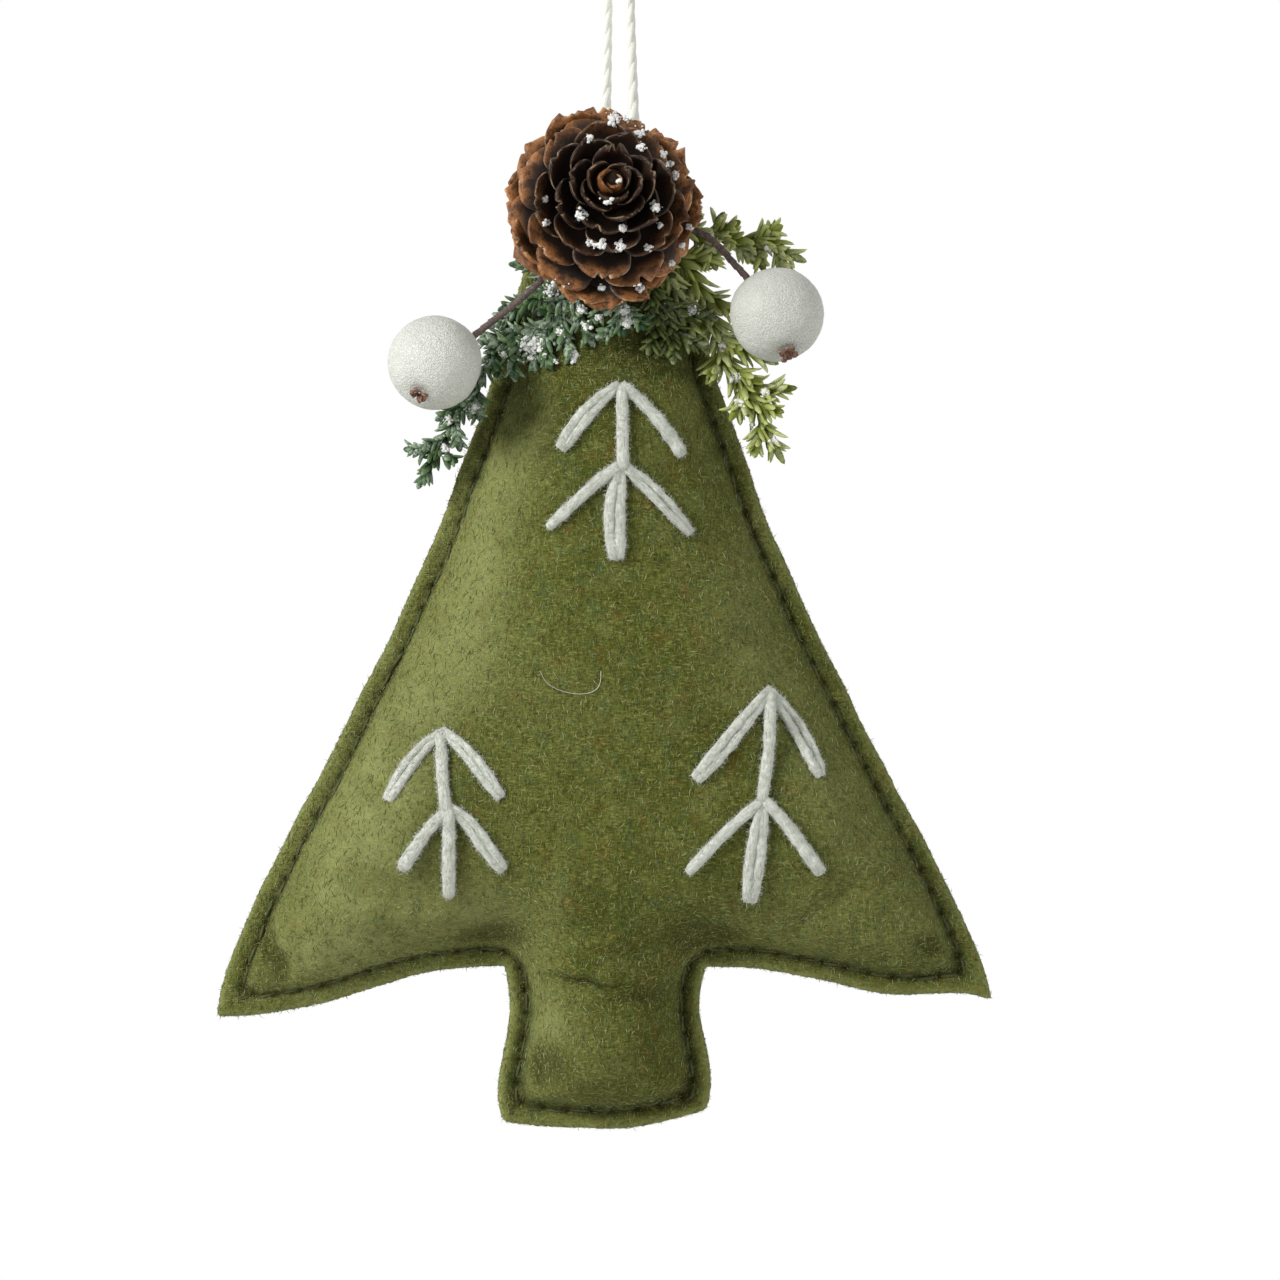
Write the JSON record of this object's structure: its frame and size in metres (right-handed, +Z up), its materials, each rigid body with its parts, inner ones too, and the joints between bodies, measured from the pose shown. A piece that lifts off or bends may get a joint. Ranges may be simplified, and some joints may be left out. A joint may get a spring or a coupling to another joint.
{
  "type": "felt christmas ornament",
  "caption": "Stuffed felt tree ornament with wool stitched trees, a small pine cone, frosted berries and green sprigs, hung by a twine loop.",
  "frame": {"origin": "inside top of the twine loop, where the ornament hangs on its hook", "axes": "+Z up, from the trunk's foot to the loop; +Y towards the back, so the embroidered face looks along -Y; +X to the right as seen from the front"},
  "size_m": [0.0994, 0.0382, 0.1644],
  "materials": {
    "felt": "matte",
    "stuffing": "matte",
    "sewing_thread": "matte",
    "wool": "matte",
    "twine": "matte",
    "hot_glue": "satin",
    "cone_wood": "matte",
    "berry_frost": "satin",
    "calyx_paper": "matte",
    "stem_wrap": "matte",
    "dark_greens": "matte",
    "lime_greens": "matte"
  },
  "bodies": {
    "root": {"felt_front": "felt", "felt_back": "felt", "stuffing": "stuffing", "seam_thread_front": "sewing_thread", "seam_thread_back": "sewing_thread", "wool_tree_top": "wool", "wool_tree_left": "wool", "wool_tree_right": "wool", "glue_pad": "hot_glue", "pine_cone": "cone_wood", "berry_left": "berry_frost", "berry_left_calyx": "calyx_paper", "berry_left_stem": "stem_wrap", "berry_right": "berry_frost", "berry_right_calyx": "calyx_paper", "berry_right_stem": "stem_wrap", "sprig_left": "dark_greens", "sprig_centre_left": "dark_greens", "sprig_centre": "dark_greens", "sprig_centre_right": "lime_greens", "sprig_right_lower": "lime_greens", "sprig_right_upper": "lime_greens", "hanging_cord": "twine"}
  },
  "joints": []
}
